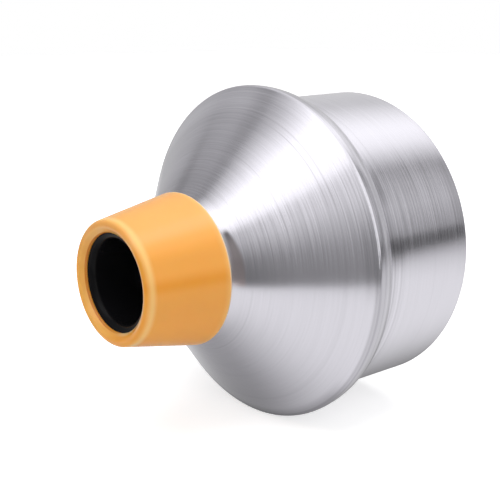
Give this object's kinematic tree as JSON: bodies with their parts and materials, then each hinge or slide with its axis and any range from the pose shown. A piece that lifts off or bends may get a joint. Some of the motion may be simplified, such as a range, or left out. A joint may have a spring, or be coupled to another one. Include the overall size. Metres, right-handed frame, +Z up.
{
  "type": "wah-wah mute",
  "caption": "Spun metal wah-wah mute for a trumpet, with a soft tapered neck ring, a crimped rim, a recessed base and a sliding stem that ends in a small cup.",
  "frame": {"origin": "on the mute's axis, in the plane of the neck ring's front face, the end that goes into the bell", "axes": "+X along the mute's axis from the neck to the base, +Z up as the mute lies on its side"},
  "size_m": [0.1065, 0.1, 0.1],
  "materials": {
    "ring_silicone": "satin",
    "tube_plastic": "gloss",
    "cone_metal": "spun",
    "drum_metal": "spun",
    "bush_plastic": "satin",
    "nut_plastic": "satin",
    "grip_rubber": "matte",
    "stem_metal": "drawn",
    "stem_cup_metal": "spun"
  },
  "bodies": {
    "body": {"neck_ring": "ring_silicone", "neck_tube": "tube_plastic", "front_cone": "cone_metal", "rear_cup": "drum_metal", "stem_bush": "bush_plastic", "bush_nut": "nut_plastic", "grip_ring": "grip_rubber"},
    "stem": {"stem_tube": "stem_metal", "stem_cup": "stem_cup_metal"}
  },
  "joints": [
    {"name": "stem_slide", "type": "slide", "parent": "body", "child": "stem", "axis": [1, 0, 0], "range_m": [0, 0.04]}
  ]
}
